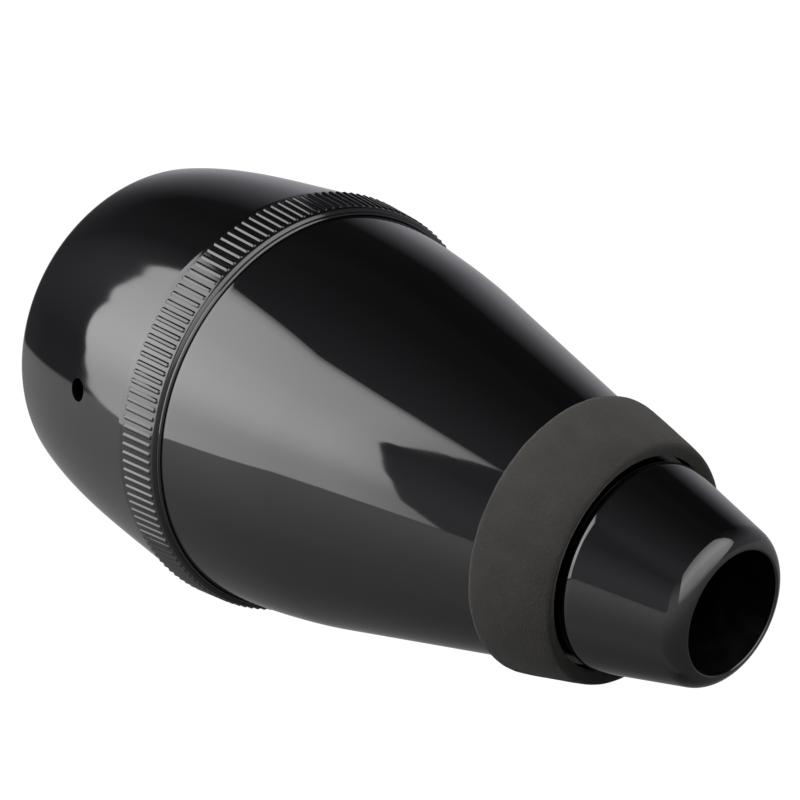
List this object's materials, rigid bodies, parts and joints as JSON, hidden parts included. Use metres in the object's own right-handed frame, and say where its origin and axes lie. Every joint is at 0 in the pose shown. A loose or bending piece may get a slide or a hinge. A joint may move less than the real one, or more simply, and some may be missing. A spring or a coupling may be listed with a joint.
{
  "type": "practice mute",
  "caption": "Trumpet practice mute: screw-together plastic chamber with a ribbed grip ring, foam bell seal and open nose bore.",
  "frame": {"origin": "middle of the flat closed end, on the surface that the mute stands on", "axes": "+Z along the bore axis from the flat end to the nose, -Y through the vent hole"},
  "size_m": [0.069, 0.069, 0.1284],
  "materials": {
    "gloss_shell": "polished moulded black ABS",
    "ring_plastic": "moulded black ABS with fine ribs, a little less bright than the shells",
    "tube_plastic": "satin moulded black plastic",
    "bell_foam": "matt charcoal closed-cell foam",
    "open_foam": "open-cell acoustic foam",
    "seal_rubber": "smooth black rubber"
  },
  "bodies": {
    "cap": {"end_cap": "gloss_shell", "damping_pad": "open_foam"},
    "seal": {"seal_ring": "seal_rubber"},
    "front": {"cone_shell": "gloss_shell", "grip_ring": "ring_plastic", "chamber_liner": "open_foam", "throat_tube": "tube_plastic", "foam_ring": "bell_foam", "nose_tip": "gloss_shell"}
  },
  "joints": [
    {"name": "front_travel", "type": "slide", "parent": "cap", "child": "seal", "axis": [0, 0, 1], "range_m": [0, 0.012]},
    {"name": "front_turn", "type": "hinge", "parent": "seal", "child": "front", "pos_m": [0, 0, 0.0387], "axis": [0, 0, 1], "range_deg": [0, 1080]}
  ],
  "couplings": [
    {"joint": "front_travel", "follows": "front_turn", "m_per_rad": 0.00063662}
  ]
}
